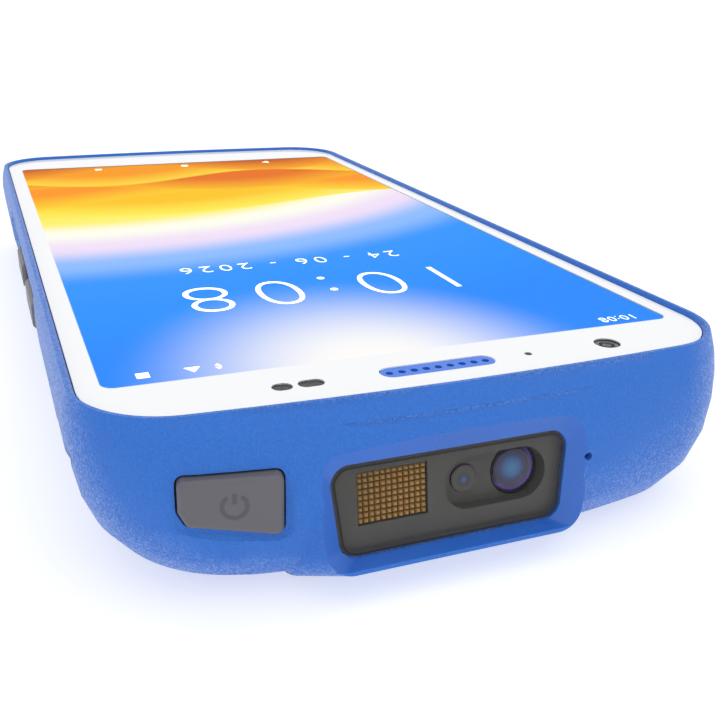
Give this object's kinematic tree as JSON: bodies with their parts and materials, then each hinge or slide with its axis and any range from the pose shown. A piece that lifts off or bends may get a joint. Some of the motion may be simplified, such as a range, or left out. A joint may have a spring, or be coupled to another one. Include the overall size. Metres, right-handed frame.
{
  "type": "portable barcode data terminal",
  "caption": "Rugged hand-held data terminal with a touch screen, a scan window in its top end, side keys and a removable battery.",
  "frame": {"origin": "bottom centre of the terminal lying on its back", "axes": "+Z out of the screen, Y along the length with the scanning end at -Y, X across the width"},
  "size_m": [0.0736, 0.153, 0.0186],
  "materials": {
    "housing_blue": "fine textured moulding",
    "bezel_blue": "smooth satin",
    "cover_glass": "polished, white printed border",
    "screen": "emissive display",
    "key_grey": "satin moulded",
    "window_tint": "tinted, polished",
    "lens_glass": "coated lens",
    "lens_brass": "moulded pyramids",
    "dark_plastic": "satin",
    "engine_metal": "cast, blackened",
    "frame_metal": "cast",
    "board_green": "solder mask",
    "can_steel": "stamped",
    "gasket_rubber": "matte",
    "gold_contact": "plated",
    "cell_pouch": "pouch foil",
    "battery_plastic": "fine textured",
    "mesh_steel": "woven",
    "screw_steel": "black plated"
  },
  "bodies": {
    "terminal": {"rear_housing": "housing_blue", "housing_seal": "gasket_rubber", "front_bezel": "bezel_blue", "cover_glass": "cover_glass", "glass_gasket": "gasket_rubber", "display_panel": "screen", "midframe": "frame_metal", "main_board": "board_green", "shield_cans": "can_steel", "display_flex": "gold_contact", "exit_window": "window_tint", "engine_face": "dark_plastic", "engine_chassis": "engine_metal", "engine_bracket": "can_steel", "imager_barrel": "engine_metal", "imager_lens": "lens_glass", "aimer_lens": "lens_glass", "illumination_lens_array": "lens_brass", "power_switch": "dark_plastic", "right_key_frame": "key_grey", "right_key_switches": "dark_plastic", "left_key_frame": "key_grey", "left_key_switches": "dark_plastic", "receiver_grille": "bezel_blue", "receiver_speaker": "dark_plastic", "front_camera": "dark_plastic", "sensor_module": "dark_plastic", "status_light_pipe": "dark_plastic", "battery_connector": "dark_plastic", "card_holder": "can_steel", "access_door": "dark_plastic", "rear_camera": "dark_plastic", "rear_camera_window": "dark_plastic", "flash_lens": "lens_glass", "speaker_mesh": "mesh_steel", "loudspeaker": "dark_plastic", "charge_contacts": "gold_contact", "housing_screws": "screw_steel", "vibration_motor": "can_steel", "antennas": "gold_contact"},
    "power_key": {"power_button": "key_grey"},
    "right_scan": {"right_scan_key": "key_grey"},
    "volume_key": {"volume_rocker": "key_grey"},
    "left_scan": {"left_scan_key": "key_grey"},
    "talk_key": {"push_to_talk_key": "key_grey"},
    "battery": {"battery_case": "battery_plastic", "battery_lid": "battery_plastic", "battery_cells": "cell_pouch", "battery_pads": "gold_contact"},
    "right_latch": {"right_battery_latch": "key_grey"},
    "left_latch": {"left_battery_latch": "key_grey"}
  },
  "joints": [
    {"name": "power_button_press", "type": "slide", "parent": "terminal", "child": "power_key", "axis": [0.1959, 0.9806, 0], "range_m": [0, 0.0005], "stiffness_N_per_m": 4000, "springref_m": -0.0003},
    {"name": "right_scan_key_press", "type": "slide", "parent": "terminal", "child": "right_scan", "axis": [1, 0, 0], "range_m": [0, 0.0005], "stiffness_N_per_m": 4000, "springref_m": -0.0003},
    {"name": "left_scan_key_press", "type": "slide", "parent": "terminal", "child": "left_scan", "axis": [-1, 0, 0], "range_m": [0, 0.0005], "stiffness_N_per_m": 4000, "springref_m": -0.0003},
    {"name": "push_to_talk_press", "type": "slide", "parent": "terminal", "child": "talk_key", "axis": [-1, 0, 0], "range_m": [0, 0.0005], "stiffness_N_per_m": 4000, "springref_m": -0.0003},
    {"name": "volume_rocker_tilt", "type": "hinge", "parent": "terminal", "child": "volume_key", "pos_m": [-0.0334, 0.0095, 0.011], "axis": [0, 0, 1], "range_deg": [-2.5, 2.5], "stiffness_Nm_per_rad": 0.2},
    {"name": "battery_lift", "type": "slide", "parent": "terminal", "child": "battery", "axis": [0, 0, -1], "range_m": [0, 0.02]},
    {"name": "right_latch_press", "type": "slide", "parent": "battery", "child": "right_latch", "axis": [1, 0, 0], "range_m": [0, 0.001], "stiffness_N_per_m": 3000, "springref_m": -0.0005},
    {"name": "left_latch_press", "type": "slide", "parent": "battery", "child": "left_latch", "axis": [-1, 0, 0], "range_m": [0, 0.001], "stiffness_N_per_m": 3000, "springref_m": -0.0005}
  ]
}
